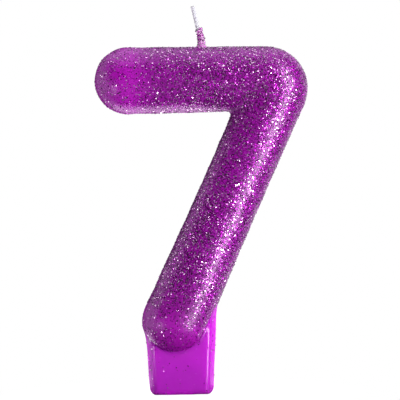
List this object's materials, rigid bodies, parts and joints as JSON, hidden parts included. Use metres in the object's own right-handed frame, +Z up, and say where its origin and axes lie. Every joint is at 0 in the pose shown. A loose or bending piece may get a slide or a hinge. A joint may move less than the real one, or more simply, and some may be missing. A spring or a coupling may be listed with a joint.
{
  "type": "number birthday candle",
  "caption": "Purple glitter wax candle in the shape of a figure seven, with a white wick and a flat foot that pushes into a cake.",
  "frame": {"origin": "middle of the foot's flat bottom", "axes": "+Z up from the foot to the wick, +X to the right when the figure is read from its front, +Y from the front to the back"},
  "size_m": [0.0697, 0.0174, 0.1272],
  "materials": {
    "figure_wax": "dyed paraffin wax, semi-gloss",
    "foot_wax": "dyed paraffin wax, smooth and glossy",
    "glitter_coat": "lacquer filled with fine purple glitter",
    "wick_cotton": "braided cotton, waxed",
    "crust_glitter": "wax filled with fine purple glitter",
    "loose_glitter": "metallised film flakes"
  },
  "bodies": {
    "candle": {"numeral_wax": "figure_wax", "foot_tab": "foot_wax", "numeral_glitter_coat": "glitter_coat", "wick_stub": "wick_cotton", "wick_glitter_crust": "crust_glitter", "wick_seal_bead": "crust_glitter", "foot_glitter_flakes": "loose_glitter"},
    "wick_tip": {"wick_tip": "wick_cotton"}
  },
  "joints": [
    {"name": "wick_bend", "type": "hinge", "parent": "candle", "child": "wick_tip", "pos_m": [0.00725, 0, 0.12064], "axis": [0, 1, 0], "range_deg": [-60, 60]}
  ]
}
